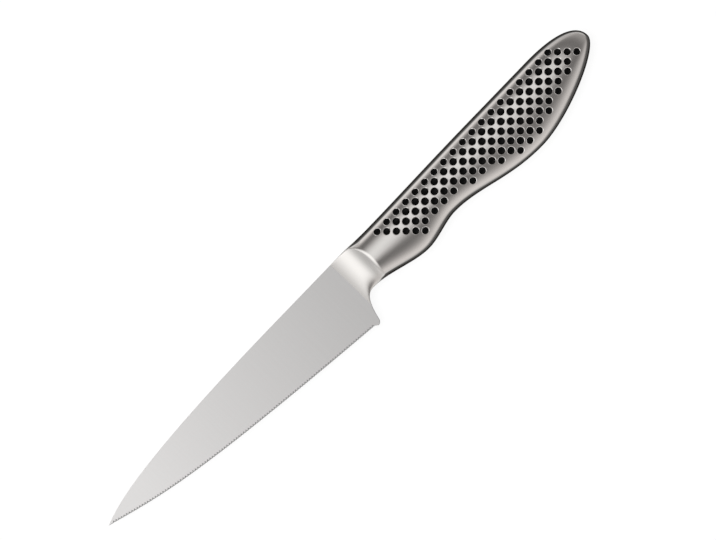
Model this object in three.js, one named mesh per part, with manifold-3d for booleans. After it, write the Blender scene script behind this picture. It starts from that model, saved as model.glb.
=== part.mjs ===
// Serrated utility knife, all steel: a ground blade, a solid neck and a hollow handle of two pressed shells.
// Sizes are in millimetres. While the pieces are made, x runs from the tip to the butt with 0 at the front of
// the handle, y runs up from the edge with 0 on the spine, and z runs across with 0 on the middle plane.

import * as THREE from 'three';
import { mergeVertices } from 'three/addons/utils/BufferGeometryUtils.js';
import Module from 'manifold-3d';

const wasm = await Module();
wasm.setup();

// Blade
const BLADE_LENGTH = 110.3; // back of the heel to the tip
const BLADE_DEPTH = 25.2; // spine to the heel's corner
const HEEL_SETBACK = 11.2; // heel's corner ahead of the handle's front
const HEEL_RADIUS = 1;
const HEEL_LIP = 0.8; // heel's corner below the first tooth
const TIP_DROP = 7; // tip below the spine
const SPINE_STRAIGHT = 36; // straight spine ahead of the handle's front
const SPINE_THICKNESS = 1.8;
const HEEL_EDGE_THICKNESS = 0.4;
const LEAST_EDGE_THICKNESS = 0.2;
const PLAIN_HEEL = 1.1; // edge without teeth ahead of the heel
const PLAIN_TIP = 1.6; // edge without teeth at the tip
const TOOTH_PITCH = 1;
const TOOTH_DEPTH = 0.35;

// Neck
const HEEL_TO_NECK = 2.2; // front of the neck behind the heel's corner
const NECK_DEPTH = 15.3;
const NECK_WAIST = 4.6; // narrowest place, ahead of the handle's front
const CREASE_PLACE = 1.5; // where the hollow runs out on the flank, behind the handle's front
const CREASE_TO_SHOULDER = 0.7; // crease to the neck's rear face
const SPIGOT_LENGTH = 8;

// Handle outline: each depth is below the spine and each place is behind the handle's front.
const HANDLE_LENGTH = 104.2;
const GUARD_PLACE = 17.9;
const GUARD_DEPTH = 19.6;
const NOTCH_PLACE = 31.9;
const NOTCH_DEPTH = 17.3;
const BELLY_PLACE = 68;
const BELLY_DEPTH = 23;
const DIP_PLACE = 8.2;
const DIP_DEPTH = 0.43; // of the hollow along the spine
const DIP_START = 4; // ahead of the handle's front
const DIP_END = 56;
const BUTT_DEPTH = 8.4;
const BUTT_ROUNDING = 20.6;
const HANDLE_THICKNESS = 11;
const FLANK_END = 82; // where the level flanks start to round over to the butt
const SECTION_POWER = 2.2; // 2 is an ellipse, and more is squarer

// Each curved stretch bends toward two guide points, given as shares of its run and of its rise.
const GUIDES = {
  spineToTip: [[0.85, 0], [0.95, 0.83]],
  edgeToTip: [[0.73, 0.46], [0.81, 0.66]],
  heelToWaist: [[0.17, 0.42], [0.38, 1]],
  waistToGuard: [[0.33, 0], [0.69, 1]],
  guardToNotch: [[0.32, 0], [0.72, 1]],
  notchToBelly: [[0.32, 0], [0.57, 1]],
  bellyToButt: [[0.34, 0], [1, 0.635]],
  spineToDip: [[0.3, 0], [0.45, 1]],
  dipToSpine: [[0.3, 0], [0.6, 1]],
  spineToButt: [[0.8, 0], [1, 0.52]],
  flankToButt: [[0.5, 0], [1, 0.2]],
};

// Shells, welds and fill
const WALL = 1.2;
const SEAM_WIDTH = 1.2;
const NECK_WELD_WIDTH = 1;
const BLADE_WELD_WIDTH = 0.8;
const WELD_GAP = 0.04; // between faces that a weld joins
const FIT_GAP = 0.3; // round the spigot and the fill
const SAND_LEVEL = 2.4; // top of the fill above the middle plane, as the knife lies

// Dimples stand on a square lattice turned by 45 degrees. Each diagonal row starts by the spine.
const DIMPLE_PITCH = 3.19;
const DIMPLE_DIAMETER = 2.5;
const DIMPLE_DEPTH = 0.6;
const DIMPLE_SPINE_MARGIN = 2.9; // at the butt
const DIMPLE_SPINE_DRIFT = 0.0066; // what the margin gains for each length toward the blade
const DIMPLE_BELLY_MARGIN = 3;
const DIMPLE_BUTT_MARGIN = 13.5; // from the butt to the rearmost dimple by the spine
const DIMPLES_PER_ROW = [4, 4, 5, 5, 6, 6, 7, 7, 8, 8, 8, 7, 6, 6, 5, 5, 5, 5, 6]; // from the butt forward

// Fineness of the faceted solids
const SIDES = 18; // two more than a multiple of four, which lays one flat along each crown
const STATIONS = 36;
const INNER_SIDES = 16;
const INNER_STATIONS = 20;
const CURVE_STEPS = 32;
const WHEEL_SIDES = 96;
const DIMPLE_SIDES = 8;
const REACH = 400; // longer than the knife, for cutting blocks

const neckFront = -HEEL_SETBACK + HEEL_TO_NECK;
const shoulder = CREASE_PLACE + CREASE_TO_SHOULDER;
const halfSpine = SPINE_THICKNESS / 2;
const zAxis = new THREE.Vector3(0, 0, 1);
const yAxis = new THREE.Vector3(0, 1, 0);

// A closed solid of a geometry, or of its mirror image across the middle plane where side is -1.
function solid(geometry, side = 1) {
  const bare = geometry.clone();
  Object.keys(bare.attributes).forEach((name) => name !== 'position' && bare.deleteAttribute(name));
  const merged = mergeVertices(bare, 1e-5);
  const corners = merged.index.array;
  const triVerts = [];
  for (let i = 0; i < corners.length; i += 3) {
    const [a, b, c] = corners.slice(i, i + 3);
    if (a !== b && b !== c && c !== a) triVerts.push(...(side > 0 ? [a, b, c] : [a, c, b]));
  }
  const vertProperties = merged.attributes.position.array.map((value, i) => (i % 3 === 2 ? value * side : value));
  return new wasm.Manifold(new wasm.Mesh({ numProp: 3, vertProperties, triVerts: Uint32Array.from(triVerts) }));
}

function block(x0, x1, z0, z1) {
  const geometry = new THREE.BoxGeometry(x1 - x0, REACH, z1 - z0);
  return solid(geometry.translate((x0 + x1) / 2, 0, (z0 + z1) / 2));
}

const betweenX = (x0, x1) => block(x0, x1, -REACH, REACH);
const betweenZ = (z0, z1) => block(-REACH, REACH, z0, z1);

const at = (x, y) => new THREE.Vector2(x, y);

function curve(from, to, guides) {
  const [first, second] = guides.map(([run, rise]) => at(
    THREE.MathUtils.lerp(from.x, to.x, run),
    THREE.MathUtils.lerp(from.y, to.y, rise),
  ));
  return new THREE.CubicBezierCurve(from, first, second, to);
}

function sampled(...curves) {
  const path = new THREE.CurvePath();
  curves.forEach((stretch) => path.add(stretch));
  return path.getPoints(CURVE_STEPS);
}

// Outline of the knife behind the heel, drawn from the blade to the nose of the butt
const choilFoot = at(-HEEL_SETBACK + HEEL_RADIUS / 2, -BLADE_DEPTH + HEEL_RADIUS);
const waist = at(-NECK_WAIST, -NECK_DEPTH);
const guard = at(GUARD_PLACE, -GUARD_DEPTH);
const notch = at(NOTCH_PLACE, -NOTCH_DEPTH);
const belly = at(BELLY_PLACE, -BELLY_DEPTH);
const nose = at(HANDLE_LENGTH, -BUTT_DEPTH);
const spineEnd = at(HANDLE_LENGTH - BUTT_ROUNDING, 0);
const choil = curve(choilFoot, waist, GUIDES.heelToWaist);
const undersideLine = sampled(
  choil,
  curve(waist, guard, GUIDES.waistToGuard),
  curve(guard, notch, GUIDES.guardToNotch),
  curve(notch, belly, GUIDES.notchToBelly),
  curve(belly, nose, GUIDES.bellyToButt),
);
const [dipStart, dip, dipEnd] = [at(-DIP_START, 0), at(DIP_PLACE, -DIP_DEPTH), at(DIP_END, 0)];
const spineLine = sampled(
  new THREE.LineCurve(at(choilFoot.x, 0), dipStart),
  curve(dipStart, dip, GUIDES.spineToDip),
  curve(dip, dipEnd, GUIDES.dipToSpine),
  new THREE.LineCurve(dipEnd, spineEnd),
  curve(spineEnd, nose, GUIDES.spineToButt),
);
// Half the thickness along the handle, as seen from the spine
const flankEnd = at(FLANK_END, HANDLE_THICKNESS / 2);
const sideLine = sampled(
  new THREE.LineCurve(at(choilFoot.x, flankEnd.y), flankEnd),
  curve(flankEnd, at(HANDLE_LENGTH, 0), GUIDES.flankToButt),
);

// The line moved square to itself, to its right-hand side where the distance is positive.
function moved(line, distance) {
  return line.map((point, i) => {
    const before = line[Math.max(i - 1, 0)];
    const after = line[i + 1];
    const along = after ? after.clone().sub(before).normalize() : at(0, -Math.sign(distance));
    return at(point.x + along.y * distance, point.y - along.x * distance);
  });
}

function heightOf(line, x) {
  const next = line.findIndex((point) => point.x > x);
  if (next < 1) return line[next < 0 ? line.length - 1 : 0].y;
  const [a, b] = [line[next - 1], line[next]];
  return a.y + ((b.y - a.y) * (x - a.x)) / (b.x - a.x);
}

const insetLines = (inset) => ({
  spine: moved(spineLine, inset),
  underside: moved(undersideLine, -inset),
  side: moved(sideLine, inset),
});

// Each section is thickest on the crown, a level line that runs forward from the nose.
function sectionAt(lines, x) {
  const above = heightOf(lines.spine, x) - nose.y;
  const below = nose.y - heightOf(lines.underside, x);
  return { above, below, thick: heightOf(lines.side, x) };
}

const rounded = (value) => Math.sign(value) * Math.abs(value) ** (2 / SECTION_POWER);

// A cylinder whose rings are drawn onto the handle's sections, down to a point at the nose.
function handleBody(inset, front, sides, stations) {
  const lines = insetLines(inset);
  const end = HANDLE_LENGTH - inset;
  const geometry = new THREE.CylinderGeometry(1, 1, 1, sides, stations);
  const positions = geometry.attributes.position;
  for (let i = 0; i < positions.count; i += 1) {
    const share = (1 - Math.cos(Math.PI * (positions.getY(i) + 0.5))) / 2;
    const x = front + (end - front) * share;
    const { above, below, thick } = sectionAt(lines, x);
    const rise = rounded(positions.getZ(i));
    positions.setXYZ(i, x, nose.y + rise * (rise > 0 ? above : below), thick * rounded(positions.getX(i)));
  }
  return solid(geometry);
}

// Blade and its weld: cut from plate, then ground on one plane each side from the spine to the edge
const tip = at(-HEEL_SETBACK - BLADE_LENGTH, -TIP_DROP);
const edgeEnd = at(-HEEL_SETBACK - HEEL_RADIUS, -BLADE_DEPTH);
const teethStart = at(edgeEnd.x - PLAIN_HEEL, -BLADE_DEPTH + HEEL_LIP);
const edgeLine = curve(teethStart, tip, GUIDES.edgeToTip);
const TOOTH_SHAPE = [[1, 0], [0.7, 1], [0.3, 1]]; // place along a tooth and share of its depth

function toothPoints() {
  const edgeLength = edgeLine.getLength();
  const teeth = Math.floor((edgeLength - PLAIN_TIP) / TOOTH_PITCH);
  const points = [];
  for (let tooth = teeth - 1; tooth >= 0; tooth -= 1) {
    TOOTH_SHAPE.forEach(([share, cut]) => {
      const place = ((tooth + share) * TOOTH_PITCH) / edgeLength;
      const along = edgeLine.getTangentAt(place);
      const inward = at(along.y, -along.x).multiplyScalar(TOOTH_DEPTH * cut);
      points.push(edgeLine.getPointAt(place).add(inward));
    });
  }
  return points;
}

function bladeOutline() {
  const outline = new THREE.Shape();
  const spineFront = at(-SPINE_STRAIGHT, 0);
  const { v1, v2 } = curve(spineFront, tip, GUIDES.spineToTip);
  outline.moveTo(waist.x, 0);
  outline.lineTo(...spineFront);
  outline.bezierCurveTo(...v1, ...v2, ...tip);
  toothPoints().forEach((point) => outline.lineTo(...point));
  outline.lineTo(...teethStart);
  outline.lineTo(...edgeEnd);
  outline.quadraticCurveTo(-HEEL_SETBACK, -BLADE_DEPTH, ...choilFoot);
  outline.bezierCurveTo(...choil.v1, ...choil.v2, ...waist);
  outline.closePath();
  return outline;
}

const fall = (SPINE_THICKNESS - HEEL_EDGE_THICKNESS) / 2 / BLADE_DEPTH;
const taper = Math.min(
  ...edgeLine.getPoints(CURVE_STEPS).map(
    ({ x, y }) => (halfSpine + fall * y - LEAST_EDGE_THICKNESS / 2) / (neckFront - x),
  ),
);

function grinder(side) {
  const geometry = new THREE.BoxGeometry(REACH, REACH, REACH).translate(0, 0, REACH / 2);
  const square = new THREE.Vector3(-taper, -fall, 1).normalize();
  geometry.applyQuaternion(new THREE.Quaternion().setFromUnitVectors(zAxis, square));
  return solid(geometry.translate(neckFront, 0, halfSpine), side);
}

const plate = new THREE.ExtrudeGeometry(bladeOutline(), {
  depth: SPINE_THICKNESS,
  bevelEnabled: false,
  curveSegments: CURVE_STEPS,
});
const groundPlate = solid(plate.translate(0, 0, -halfSpine)).subtract(grinder(1)).subtract(grinder(-1));
const bladeBack = neckFront - BLADE_WELD_WIDTH;
const blade = groundPlate.intersect(betweenX(-REACH, bladeBack - WELD_GAP));
const bladeWeld = groundPlate.intersect(betweenX(bladeBack, neckFront - WELD_GAP));

// Neck: the front of the handle's body with a hollow ground into each flank by a wheel, and a spigot behind it
const outerBody = handleBody(0, neckFront, SIDES, STATIONS);

const hollowRun = CREASE_PLACE - neckFront;
const hollowRise = heightOf(sideLine, CREASE_PLACE) - halfSpine;
const wheelRadius = (hollowRun ** 2 + hollowRise ** 2) / (2 * hollowRise);

function wheel(side) {
  const geometry = new THREE.CylinderGeometry(wheelRadius, wheelRadius, REACH, WHEEL_SIDES);
  geometry.translate(0, 0, wheelRadius).rotateX(Math.atan(fall));
  return solid(geometry.translate(neckFront, 0, halfSpine), side);
}

const innerBody = (inset, front) => handleBody(inset, front, INNER_SIDES, INNER_STATIONS);
const spigotEnd = shoulder + SPIGOT_LENGTH;
const looseBody = innerBody(WALL + FIT_GAP, 0);
const neck = outerBody
  .intersect(betweenX(neckFront, shoulder))
  .subtract(wheel(1))
  .subtract(wheel(-1))
  .add(looseBody.intersect(betweenX(shoulder - WALL, spigotEnd)));

// Shells and the two welds that close them: all cut from one hollow body
const hollowBody = outerBody.subtract(innerBody(WALL, 0));
const shellFront = shoulder + NECK_WELD_WIDTH + WELD_GAP * 2;
const hollowHandle = hollowBody.intersect(betweenX(shellFront, REACH));
const neckWeld = hollowBody.intersect(betweenX(shoulder + WELD_GAP, shellFront - WELD_GAP));
const seamWeld = hollowHandle.intersect(betweenZ(-SEAM_WIDTH / 2, SEAM_WIDTH / 2));

const outerLines = insetLines(0);

function flankHeight(x, y) {
  const { above, below, thick } = sectionAt(outerLines, x);
  const share = Math.min(y > nose.y ? (y - nose.y) / above : (nose.y - y) / below, 1);
  return thick * (1 - share ** SECTION_POWER) ** (1 / SECTION_POWER);
}

function dimplePlaces() {
  const step = DIMPLE_PITCH / Math.SQRT2;
  const places = [];
  DIMPLES_PER_ROW.forEach((count, row) => {
    for (let i = 0; i < count; i += 1) {
      const forward = step * (2 * row - i);
      const x = HANDLE_LENGTH - DIMPLE_BUTT_MARGIN - forward;
      const y = -DIMPLE_SPINE_MARGIN - DIMPLE_SPINE_DRIFT * forward - step * i;
      const toEdge = Math.min(...undersideLine.map((point) => point.distanceTo(at(x, y))));
      if (x > shellFront + DIMPLE_DIAMETER && toEdge > DIMPLE_BELLY_MARGIN) places.push([x, y]);
    }
  });
  return places;
}

// A pointed punch that stands square to the flank and reaches as far out of it as it goes in
function punch([x, y], side) {
  const nudge = 0.05;
  const slopeX = (flankHeight(x + nudge, y) - flankHeight(x - nudge, y)) / (2 * nudge);
  const slopeY = (flankHeight(x, y + nudge) - flankHeight(x, y - nudge)) / (2 * nudge);
  const square = new THREE.Vector3(-slopeX, -slopeY, 1).normalize();
  const geometry = new THREE.ConeGeometry(DIMPLE_DIAMETER, DIMPLE_DEPTH * 2, DIMPLE_SIDES).rotateX(Math.PI);
  geometry.applyQuaternion(new THREE.Quaternion().setFromUnitVectors(yAxis, square));
  return solid(geometry.translate(x, y, flankHeight(x, y)), side);
}

function shell(side) {
  const rim = SEAM_WIDTH / 2 + WELD_GAP;
  const half = hollowHandle.intersect(side > 0 ? betweenZ(rim, REACH) : betweenZ(-REACH, -rim));
  return dimplePlaces().reduce((pressed, place) => pressed.subtract(punch(place, side)), half);
}

// Sand: loose fill behind the spigot, level on top
const sand = looseBody.intersect(block(spigotEnd + FIT_GAP, REACH, -REACH, SAND_LEVEL));

function steel(color, roughness) {
  return new THREE.MeshStandardMaterial({ color, roughness, metalness: 1 });
}

function piece(name, body, material) {
  const { vertProperties, triVerts } = body.getMesh();
  const geometry = new THREE.BufferGeometry();
  geometry.setAttribute('position', new THREE.BufferAttribute(vertProperties, 3));
  geometry.setIndex(new THREE.BufferAttribute(triVerts, 1));
  geometry.computeVertexNormals();
  const mesh = new THREE.Mesh(geometry, material);
  mesh.name = name;
  return mesh;
}

const knife = new THREE.Group();
knife.add(
  piece('blade', blade, steel(0xc6c7c8, 0.38)),
  piece('blade_weld', bladeWeld, steel(0xc6c7c8, 0.38)),
  piece('neck_bolster', neck, steel(0xd6d6d6, 0.28)),
  piece('neck_weld', neckWeld, steel(0xcfcfcf, 0.28)),
  piece('handle_shell_left', shell(1), steel(0xcfcfcf, 0.25)),
  piece('handle_shell_right', shell(-1), steel(0xcfcfcf, 0.25)),
  piece('handle_seam_weld', seamWeld, steel(0xcfcfcf, 0.3)),
  piece('sand_fill', sand, new THREE.MeshStandardMaterial({ color: 0xbfa985, roughness: 1, metalness: 0 })),
);

// The finished knife lies on its right flank, centred over the origin.
const bounds = new THREE.Box3().setFromObject(knife);
const centre = bounds.getCenter(new THREE.Vector3());
knife.position.set(-centre.x, -centre.y, -bounds.min.z);
const model = new THREE.Group();
model.add(knife);

export default model;
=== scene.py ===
from bisect import bisect_right
from collections import namedtuple
from math import atan, cos, pi, radians, sin, sqrt, tau

import bmesh
import bpy
from bpy.props import FloatProperty, FloatVectorProperty, IntVectorProperty, PointerProperty
from mathutils import Matrix, Vector
from mathutils.geometry import interpolate_bezier


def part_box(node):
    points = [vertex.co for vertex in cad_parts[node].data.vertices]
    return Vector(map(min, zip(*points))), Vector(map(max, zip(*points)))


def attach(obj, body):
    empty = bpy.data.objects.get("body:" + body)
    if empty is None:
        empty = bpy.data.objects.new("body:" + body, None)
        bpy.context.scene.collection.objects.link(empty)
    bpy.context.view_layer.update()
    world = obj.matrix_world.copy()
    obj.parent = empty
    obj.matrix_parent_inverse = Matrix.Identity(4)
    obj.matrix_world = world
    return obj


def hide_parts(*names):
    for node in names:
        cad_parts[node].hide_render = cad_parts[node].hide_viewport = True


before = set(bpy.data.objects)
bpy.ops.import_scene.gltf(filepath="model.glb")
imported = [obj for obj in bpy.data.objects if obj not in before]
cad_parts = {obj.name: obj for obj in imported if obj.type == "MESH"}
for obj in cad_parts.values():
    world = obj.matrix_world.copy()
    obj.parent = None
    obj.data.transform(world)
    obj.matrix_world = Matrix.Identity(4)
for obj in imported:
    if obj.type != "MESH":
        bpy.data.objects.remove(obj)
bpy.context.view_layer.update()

bl_info = {
    "name": "Serrated Utility Knife",
    "version": (1, 0, 0),
    "blender": (4, 5, 0),
    "location": "View3D > Sidebar > Knife",
    "description": "Dresses the solids of an all-steel utility knife with smooth pieces and finishes",
    "category": "Object",
}

MM = 0.001
BODY = "root"
SIDES = ((1, "left"), (-1, "right"))
MERGE = 1e-7  # points closer than this become one
NUDGE = 0.05 * MM  # step over which the flank's slope is measured
WIDE_FACE = 10 * MM**2  # faces as wide as this are shaded flat

# Fineness: points of a curved stretch, then stations along and sides around, or sides alone
CURVE_POINTS = 96
HEEL_POINTS = 12
NECK_GRID = (96, 200)
NECK_WELD_GRID = (36, 200)
HANDLE_GRID = (150, 144)
STONE_SIDES = 12
DIMPLE_SIDES = 16

# Pieces are drawn with x from the tip to the butt, 0 at the handle's front, y up with 0 on the spine, and z
# across with 0 on the middle plane. Curved stretches bend toward two guides, given as shares of run and rise.
GUIDES = {
    "spine_to_tip": ((0.85, 0), (0.95, 0.83)),
    "edge_to_tip": ((0.73, 0.46), (0.81, 0.66)),
    "heel_to_waist": ((0.17, 0.42), (0.38, 1)),
    "waist_to_guard": ((0.33, 0), (0.69, 1)),
    "guard_to_notch": ((0.32, 0), (0.72, 1)),
    "notch_to_belly": ((0.32, 0), (0.57, 1)),
    "belly_to_butt": ((0.34, 0), (1, 0.635)),
    "spine_to_dip": ((0.3, 0), (0.45, 1)),
    "dip_to_spine": ((0.3, 0), (0.6, 1)),
    "spine_to_butt": ((0.8, 0), (1, 0.52)),
    "flank_to_butt": ((0.5, 0), (1, 0.2)),
}

# Section power of the neck's hollow: where it runs out, and what it gains toward the blade. By the underside
# the gain comes late.
HOLLOW_ABOVE = 10
HOLLOW_ABOVE_GAIN = 40
HOLLOW_BELOW = 2.5
HOLLOW_BELOW_GAIN = 24
HOLLOW_BELOW_DELAY = 6.3
SPIGOT_SHARE = 0.78  # of the neck's rear face
STONE_REACH = 2 * MM  # half the length of the stone that grinds the teeth

# Dimples: the dish's shoulder and the enamel's top and bottom are given as shares of the radius, with depths.
RIM_DEPTH = 0.15 * MM
ENAMEL_ROOM = 0.05 * MM  # dish below the enamel
DISH_SHOULDER = (0.95, 0.32 * MM)
ENAMEL_TOP = ((0, 0.52 * MM), (0.6, 0.40 * MM), (0.985, 0.20 * MM))
ENAMEL_BOTTOM = ((0.9, 0.31 * MM), (0, 0.60 * MM))

# Brushed marks: share of the fine ones, and scale of the broad bands among them
FINE_SHARE = 0.6
BROAD_SCALE = 0.21
BUMP = 0.02
BUMP_HEIGHT = 0.02 * MM

# Painted shade along the seam: a dark band where the flanks turn over, standing for the dark edges that the
# steel would mirror. It is given by where it is gone and where it is whole: leans in degrees as it comes in
# and as it goes out, and shares of its half width. On the underside it is wider, more so where it faces the
# butt.
BAND_IN = (42, 54)
BAND_OUT = (80, 66)
BAND_EDGE = (1.1, 0.95)
BAND_UNDERSIDE = (0.2, -0.2)  # how far up the surface faces, from the spine's side to the underside
BAND_WIDER = 0.045
BAND_WIDER_BY_BUTT = 0.15
BAND_FRONT = 0.9 * MM  # ahead of the handle's front
BAND_FRONT_BLUR = 1.0 * MM

# Studio: light from where no panel is, hue of what isn't overhead, and the lamp in metres
ROOM_LEVEL = 0.21
WARM = (1, 0.965, 0.95, 1)
WHITE = (1, 1, 1, 1)
LAMP_PLACE = (-0.3, 0.35, 1.5)
LAMP_SIDES = (1.2, 0.8)
LAMP_WATTS = 24

PaintedSeamShade = namedtuple("PaintedSeamShade", "colour middle half_width front")
Fade = namedtuple("Fade", "start end first last")


def distance(name, millimetres, description):
    return FloatProperty(
        name=name, description=description, default=millimetres * MM, unit="LENGTH", precision=5
    )


def share(name, value, description):
    return FloatProperty(
        name=name, description=description, default=value, min=0, max=1, subtype="FACTOR"
    )


def colour(name, rgb, description):
    return FloatVectorProperty(
        name=name, description=description, default=(*rgb, 1), size=4, min=0, max=1, subtype="COLOR"
    )


class KnifeBladeSizes(bpy.types.PropertyGroup):
    """Sizes of the blade"""

    length: distance("Length", 110.3, "Back of the heel to the tip")
    depth: distance("Depth", 25.2, "Spine to the heel's corner")
    heel_setback: distance("Heel setback", 11.2, "Heel's corner ahead of the handle's front")
    heel_radius: distance("Heel radius", 1, "Rounding of the heel's corner")
    heel_lip: distance("Heel lip", 0.8, "Heel's corner below the first tooth")
    tip_drop: distance("Tip drop", 7, "Tip below the spine")
    straight: distance("Straight spine", 36, "Straight spine ahead of the handle's front")
    spine: distance("Spine thickness", 1.8, "Thickness along the spine")
    heel_edge: distance("Heel edge", 0.4, "Thickness of the edge at the heel")
    least_edge: distance("Least edge", 0.2, "Thickness of the edge where it is thinnest")
    ease: distance("Eased spine", 0.15, "Width of the eased corners along the spine")
    heel_ease: distance("Eased heel", 0.16, "Width of the eased corners from the heel to the neck")
    weld: distance("Weld width", 0.8, "Width of the weld behind the blade")
    plain_heel: distance("Plain heel", 1.1, "Edge without teeth ahead of the heel")
    plain_tip: distance("Plain tip", 1.6, "Edge without teeth at the tip")
    tooth_pitch: distance("Tooth pitch", 1, "Distance between teeth along the edge")
    tooth_radius: distance("Tooth radius", 0.3, "Radius of the stone that grinds each tooth")
    tooth_depth: distance("Tooth depth", 0.15, "Depth of each tooth on the blade's right side")
    tooth_reach: distance("Tooth reach", 0.7, "How far each tooth runs up the blade's left side")
    facet: distance("Edge facet", 0.26, "Width of the facet ground along the edge on the left side")


class KnifeNeckSizes(bpy.types.PropertyGroup):
    """Sizes of the neck"""

    heel_to_neck: distance("Heel to neck", 2.2, "Front of the neck behind the heel's corner")
    depth: distance("Depth", 15.3, "Depth at the waist")
    waist: distance("Waist", 4.6, "Narrowest place, ahead of the handle's front")
    crease: distance("Crease", 1.8, "Where the hollow runs out, behind the handle's front")
    shoulder: distance("Shoulder", 0.4, "Crease to the rear face")
    spigot: distance("Spigot", 8, "Length of the spigot in the handle")
    crease_blend: distance("Crease blend", 0.9, "How far the crease is rounded over")
    square: FloatProperty(
        name="Square shoulder", description="Section power of the neck by the spine", default=3.3,
        min=1.5, max=6,
    )
    square_run: distance("Square run", 5.5, "Length over which the square shoulder goes over into the handle")


class KnifeHandleSizes(bpy.types.PropertyGroup):
    """Sizes of the handle: depths are below the spine and places are behind the handle's front"""

    length: distance("Length", 104.2, "Front to butt")
    guard_place: distance("Guard place", 17.9, "Deepest place of the finger guard")
    guard_depth: distance("Guard depth", 19.6, "Depth at the finger guard")
    notch_place: distance("Notch place", 31.9, "Shallowest place behind the guard")
    notch_depth: distance("Notch depth", 17.3, "Depth behind the guard")
    belly_place: distance("Belly place", 68, "Deepest place of the belly")
    belly_depth: distance("Belly depth", 23, "Depth at the belly")
    dip_place: distance("Dip place", 8.2, "Lowest place of the hollow along the spine")
    dip_depth: distance("Dip depth", 0.43, "Depth of the hollow along the spine")
    dip_start: distance("Dip start", 4, "Start of the hollow, ahead of the handle's front")
    dip_end: distance("Dip end", 56, "End of the hollow")
    butt_depth: distance("Butt depth", 8.4, "Depth of the butt's nose and of the crown")
    butt_rounding: distance("Butt rounding", 20.6, "Length of the rounding at the butt")
    thickness: distance("Thickness", 11, "Thickness across the flanks")
    flank_end: distance("Flank end", 82, "Where the level flanks start to round over")
    wall: distance("Wall", 1.2, "Thickness of the shells")
    seam: distance("Seam", 1.2, "Width of the weld between the shells")
    neck_weld: distance("Neck weld", 1.08, "Width of the weld behind the neck")
    power: FloatProperty(
        name="Section power", description="2 is an ellipse, and more is squarer", default=2.2, min=1.5, max=4
    )


class KnifeDimpleSizes(bpy.types.PropertyGroup):
    """Sizes of the dimples, which stand on a square lattice turned by 45 degrees"""

    pitch: distance("Pitch", 3.19, "Distance between neighbours")
    diameter: distance("Diameter", 2.6, "Diameter of the black dish")
    depth: distance("Depth", 0.6, "Depth of the dish")
    rim: distance("Rim", 0.22, "Width of the bevelled rim")
    outer: share("Outer dimples", 0.94, "Size of the outermost dimples, as a share of the others")
    spine_margin: distance("Spine margin", 2.9, "First dimple below the spine, at the butt")
    spine_drift: FloatProperty(
        name="Spine drift", description="What the margin gains for each length toward the blade",
        default=0.0066, precision=4,
    )
    butt_margin: distance("Butt margin", 13.5, "First dimple ahead of the butt")
    per_row: IntVectorProperty(
        name="Dimples per row",
        description="Dimples in each diagonal row, from the butt forward",
        size=19,
        default=(4, 4, 5, 5, 6, 6, 7, 7, 8, 8, 8, 7, 6, 6, 5, 5, 5, 5, 6),
    )


class KnifeFinishes(bpy.types.PropertyGroup):
    """Colours of the finishes"""

    blade: colour("Blade", (0.70, 0.694, 0.69), "Satin steel of the blade")
    # Teeth: the coarser grind is real, and the darker grey is partly painted shade along the edge, heel and
    # choil
    teeth: colour("Teeth", (0.40, 0.40, 0.40), "Coarsely ground steel of the teeth")
    neck: colour("Neck", (0.64, 0.623, 0.604), "Polished steel of the neck")
    handle: colour("Handle", (0.635, 0.618, 0.60), "Fine satin steel of the handle")
    # Seam band: painted shade, near black where the flanks turn over, for the dark reflection along the edges
    seam: colour("Seam band", (0.095, 0.092, 0.089), "Dull steel along the dressed seam")
    # Rims: lighter than the handle, partly a painted highlight round each dimple, over the light the bevel
    # catches
    rims: colour("Rims", (0.76, 0.74, 0.72), "Burnished rims of the dimples")
    enamel: colour("Enamel", (0.002, 0.002, 0.002), "Black enamel in the dimples")
    sand: colour("Sand", (0.52, 0.40, 0.24), "Sand in the handle")
    # Most that half the painted shade along the seam spreads
    seam_band: distance("Seam band", 3.1, "Most that half the dull band along the seam spreads")


class KnifeStageSizes(bpy.types.PropertyGroup):
    """Stage and camera"""

    floor: colour("Floor", (0.9, 0.9, 0.9), "Colour of the floor")
    floor_size: distance("Floor size", 12000, "Side of the floor")
    glow: share("Floor glow", 0.9, "Share of the floor's white that doesn't take shadow")
    lens: FloatProperty(name="Lens", description="Focal length in millimetres", default=200, min=1)
    span: distance("View width", 235.5, "Width of the view at the knife")
    aim: FloatVectorProperty(
        name="Aim", description="Place on the knife below the camera", default=(4.78 * MM, 4.91 * MM),
        size=2, subtype="XYZ_LENGTH", unit="LENGTH",
    )
    turn: FloatProperty(
        name="Turn", description="Turn of the knife in the view", default=radians(46.05), subtype="ANGLE"
    )


class Line:
    """A drawn line whose height is read by its place along the knife"""

    def __init__(self, *stretches):
        self.points = [point for i, run in enumerate(stretches) for point in run[1 if i else 0:]]
        self.places = [point.x for point in self.points]

    def height(self, x):
        after = min(max(bisect_right(self.places, x), 1), len(self.places) - 1)
        a, b = self.points[after - 1], self.points[after]
        return a.y + (b.y - a.y) * min((x - a.x) / (b.x - a.x), 1)


def at(x, y):
    return Vector((x, y))


def stretch(start, end, guide):
    """A curve that bends toward its two guides"""
    first, second = (
        at(start.x + (end.x - start.x) * run, start.y + (end.y - start.y) * rise)
        for run, rise in GUIDES[guide]
    )
    return interpolate_bezier(start, first, second, end, CURVE_POINTS)


def least(one, other, blend):
    """The lesser of two heights, rounded over where they meet"""
    if blend <= 0 or one <= 0:
        return min(one, other)
    mix = min(max(0.5 + 0.5 * (other - one) / blend, 0), 1)
    return max(other + (one - other) * mix - blend * mix * (1 - mix), 0)


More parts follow.
